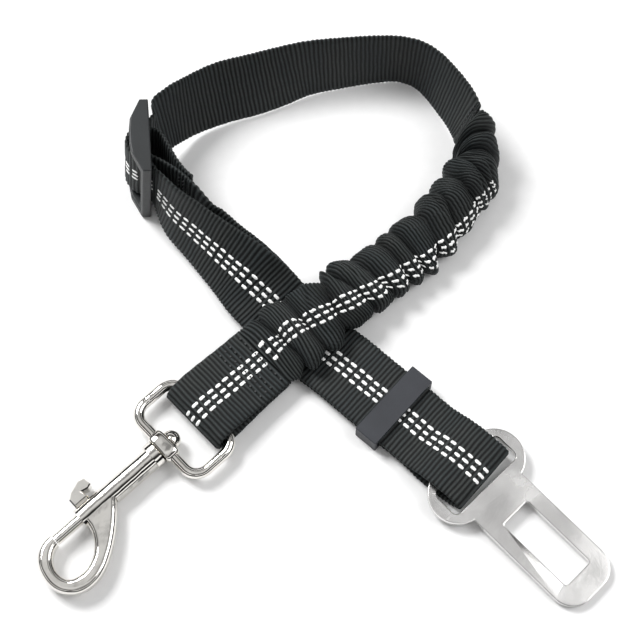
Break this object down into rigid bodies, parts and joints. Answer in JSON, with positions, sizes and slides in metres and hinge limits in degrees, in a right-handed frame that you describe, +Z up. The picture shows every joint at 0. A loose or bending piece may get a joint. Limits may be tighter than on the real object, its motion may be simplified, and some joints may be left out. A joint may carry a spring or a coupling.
{
  "type": "seat-belt bungee leash",
  "caption": "Adjustable webbing leash with a gathered bungee section: swivel bolt snap at one end, tri-glide slider, keeper, and a seat-belt buckle tongue at the other.",
  "frame": {"origin": "centre of the bounding box, on the floor it lies on", "axes": "+Z up from the floor; +Y towards the top of the strap's ring; +X towards the seat-belt tongue's side"},
  "size_m": [0.1772, 0.1923, 0.0337],
  "materials": {
    "black_webbing": "ribbed woven nylon",
    "thread": "sewing thread",
    "elastic": "woven elastic",
    "snap_chrome": "polished",
    "tongue_chrome": "bright plated",
    "spring_steel": "drawn wire",
    "slider_plastic": "matte",
    "keeper_plastic": "satin"
  },
  "bodies": {
    "main_strap": {"loop_webbing": "black_webbing", "front_webbing": "black_webbing", "back_webbing": "black_webbing", "tongue_end_webbing": "black_webbing", "bungee_sleeve": "black_webbing", "elastic_band": "elastic", "sleeve_upper_stitching": "thread"},
    "snap_strap": {"snap_end_webbing": "black_webbing", "snap_end_stitching": "thread", "sleeve_lower_stitching": "thread"},
    "eye": {"swivel_eye": "snap_chrome"},
    "snap": {"snap_casting": "snap_chrome", "swivel_rivet": "snap_chrome", "snap_spring": "spring_steel"},
    "bolt": {"snap_bolt": "snap_chrome", "thumb_tab": "snap_chrome"},
    "slider": {"tri_glide_slider": "slider_plastic", "slider_bight_webbing": "black_webbing", "anchor_fold_webbing": "black_webbing", "anchor_stitching": "thread"},
    "keeper": {"keeper_loop": "keeper_plastic"},
    "tongue": {"seat_belt_tongue": "tongue_chrome"}
  },
  "joints": [
    {"name": "bungee_stretch", "type": "slide", "parent": "main_strap", "child": "snap_strap", "axis": [-0.7254, -0.6884, 0], "range_m": [0, 0.06], "stiffness_N_per_m": 400, "deforming": ["bungee_sleeve", "elastic_band"]},
    {"name": "eye_pivot", "type": "hinge", "parent": "snap_strap", "child": "eye", "pos_m": [-0.0382, -0.0334, 0.00445], "axis": [0.6884, -0.7254, 0], "range_deg": [-90, 90]},
    {"name": "swivel_spin", "type": "hinge", "parent": "eye", "child": "snap", "pos_m": [-0.05082, -0.04538, 0.00445], "axis": [-0.7254, -0.6884, 0], "continuous": true},
    {"name": "bolt_slide", "type": "slide", "parent": "snap", "child": "bolt", "axis": [0.7254, 0.6884, 0], "range_m": [0, 0.009], "stiffness_N_per_m": 300, "springref_m": -0.004, "deforming": ["snap_spring"]},
    {"name": "slider_slide", "type": "slide", "parent": "main_strap", "child": "slider", "axis": [0.0924, -0.9957, 0], "range_m": [-0.004, 0.014], "deforming": ["front_webbing", "back_webbing", "loop_webbing"]},
    {"name": "keeper_slide", "type": "slide", "parent": "main_strap", "child": "keeper", "axis": [0.7501, -0.6613, 0], "range_m": [-0.015, 0.01]},
    {"name": "tongue_pivot", "type": "hinge", "parent": "main_strap", "child": "tongue", "pos_m": [0.0433, -0.0497, 0.00415], "axis": [0.7157, 0.6984, 0], "range_deg": [-80, 80]}
  ]
}
